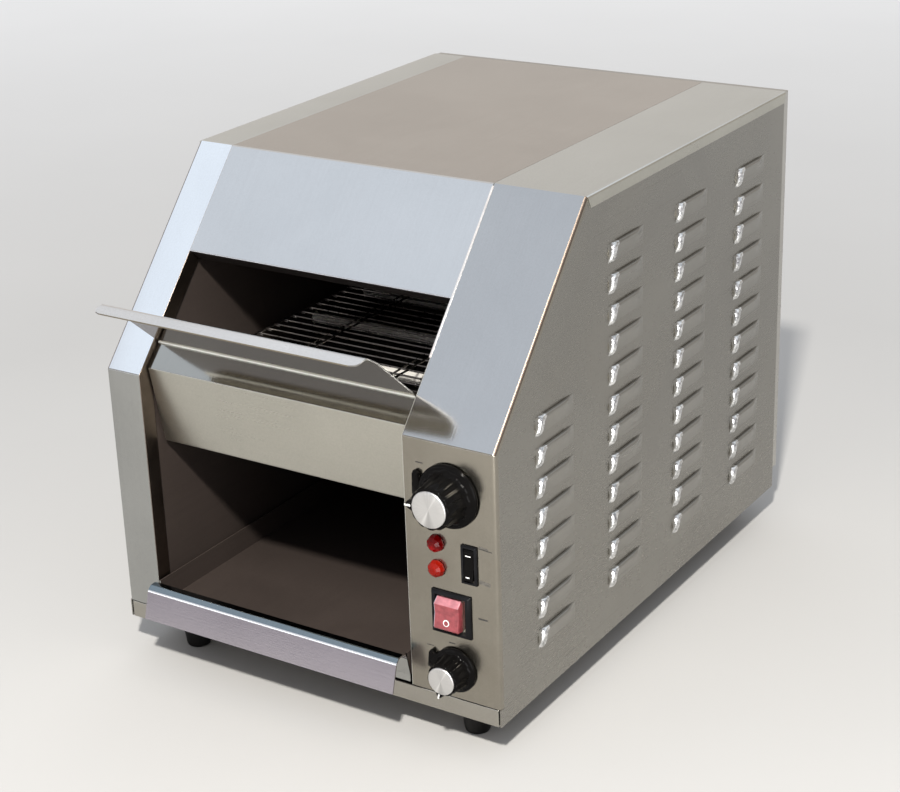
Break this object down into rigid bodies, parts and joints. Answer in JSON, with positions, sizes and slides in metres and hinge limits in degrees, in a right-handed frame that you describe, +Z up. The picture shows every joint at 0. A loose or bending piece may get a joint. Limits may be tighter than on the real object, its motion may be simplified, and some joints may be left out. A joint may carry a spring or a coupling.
{
  "type": "conveyor oven",
  "caption": "Counter-top conveyor oven with slanted front, wire belt, louvered sides, raised feed slide, pull-out output tray and a control column with knobs and rocker switches.",
  "frame": {"origin": "bottom centre of the bounding box, on the plane the feet stand on", "axes": "+X to the right seen from the control side, +Y from the front to the back, +Z up"},
  "size_m": [0.3772, 0.57, 0.413],
  "materials": {
    "stainless": "brushed",
    "inner_steel": "satin",
    "reflector": "bright",
    "quartz": "frosted",
    "ceramic": "matte",
    "belt_wire": "darkened by heat",
    "shaft_steel": "machined",
    "bearing_bronze": "sintered",
    "motor_paint": "satin",
    "black_plastic": "satin",
    "knob_plastic": "gloss",
    "knob_cap": "spun",
    "lamp_red": "gloss",
    "rocker_red": "gloss",
    "foot_rubber": "matte"
  },
  "bodies": {
    "cabinet": {"base_pan": "stainless", "belt_shield": "inner_steel", "cable_gland": "black_plastic", "conveyor_belt": "belt_wire", "drive_bearing_left": "bearing_bronze", "drive_bearing_right": "bearing_bronze", "drive_chain": "shaft_steel", "fan_frame": "black_plastic", "feed_slide": "stainless", "foot_front_left": "foot_rubber", "foot_front_right": "foot_rubber", "foot_rear_left": "foot_rubber", "foot_rear_right": "foot_rubber", "front_centre_panel": "stainless", "gear_motor": "motor_paint", "idler_bearing_left": "bearing_bronze", "idler_bearing_right": "bearing_bronze", "indicator_lamp_lower": "lamp_red", "indicator_lamp_upper": "lamp_red", "large_rocker_bezel": "black_plastic", "left_column_band": "stainless", "left_inner_wall": "inner_steel", "left_side_panel": "stainless", "lower_heater_1": "quartz", "lower_heater_2": "quartz", "lower_heater_3": "quartz", "lower_heater_holder_left": "ceramic", "lower_heater_holder_right": "ceramic", "lower_reflector": "reflector", "motor_bracket": "inner_steel", "rear_cover": "stainless", "rear_inner_wall": "inner_steel", "return_chute": "inner_steel", "right_column_band": "stainless", "right_inner_wall": "inner_steel", "right_side_panel": "stainless", "selector_switch": "black_plastic", "small_rocker_bezel": "black_plastic", "speed_control": "black_plastic", "top_cover": "stainless", "tray_runner_left": "inner_steel", "tray_runner_right": "inner_steel", "upper_heater_1": "quartz", "upper_heater_2": "quartz", "upper_heater_3": "quartz", "upper_heater_holder_left": "ceramic", "upper_heater_holder_right": "ceramic", "upper_reflector": "reflector"},
    "output_tray": {"output_tray": "stainless"},
    "speed_knob": {"speed_knob": "knob_plastic", "speed_knob_cap": "knob_cap"},
    "selector_knob": {"selector_knob": "knob_plastic", "selector_knob_cap": "knob_cap"},
    "small_rocker": {"small_rocker": "black_plastic"},
    "large_rocker": {"large_rocker": "rocker_red"},
    "drive_roller": {"drive_shaft": "shaft_steel", "drive_sprocket": "shaft_steel"},
    "idler_roller": {"idler_shaft": "shaft_steel"},
    "motor_output": {"motor_sprocket": "shaft_steel"},
    "fan": {"fan_rotor": "black_plastic"}
  },
  "joints": [
    {"name": "tray_pull", "type": "slide", "parent": "cabinet", "child": "output_tray", "axis": [0, -1, 0], "range_m": [0, 0.24]},
    {"name": "speed_knob_turn", "type": "hinge", "parent": "cabinet", "child": "speed_knob", "pos_m": [0.144, -0.2365, 0.217], "axis": [0, 1, 0], "range_deg": [0, 270]},
    {"name": "selector_knob_turn", "type": "hinge", "parent": "cabinet", "child": "selector_knob", "pos_m": [0.1445, -0.2365, 0.0715], "axis": [0, 1, 0], "range_deg": [0, 90]},
    {"name": "small_rocker_tilt", "type": "hinge", "parent": "cabinet", "child": "small_rocker", "pos_m": [0.16, -0.234, 0.164], "axis": [1, 0, 0], "range_deg": [0, 16]},
    {"name": "large_rocker_tilt", "type": "hinge", "parent": "cabinet", "child": "large_rocker", "pos_m": [0.143, -0.235, 0.119], "axis": [1, 0, 0], "range_deg": [0, 16]},
    {"name": "drive_roller_spin", "type": "hinge", "parent": "cabinet", "child": "drive_roller", "pos_m": [0, 0.163, 0.229], "axis": [1, 0, 0], "continuous": true},
    {"name": "idler_roller_spin", "type": "hinge", "parent": "cabinet", "child": "idler_roller", "pos_m": [0, -0.152, 0.229], "axis": [1, 0, 0], "continuous": true},
    {"name": "motor_output_spin", "type": "hinge", "parent": "cabinet", "child": "motor_output", "pos_m": [0.12, 0.113, 0.141], "axis": [1, 0, 0], "continuous": true},
    {"name": "fan_spin", "type": "hinge", "parent": "cabinet", "child": "fan", "pos_m": [0.1435, 0.253, 0.349], "axis": [0, 1, 0], "continuous": true}
  ],
  "couplings": [
    {"joint": "idler_roller_spin", "follows": "drive_roller_spin", "ratio": 1},
    {"joint": "motor_output_spin", "follows": "drive_roller_spin", "ratio": 1.6667}
  ]
}
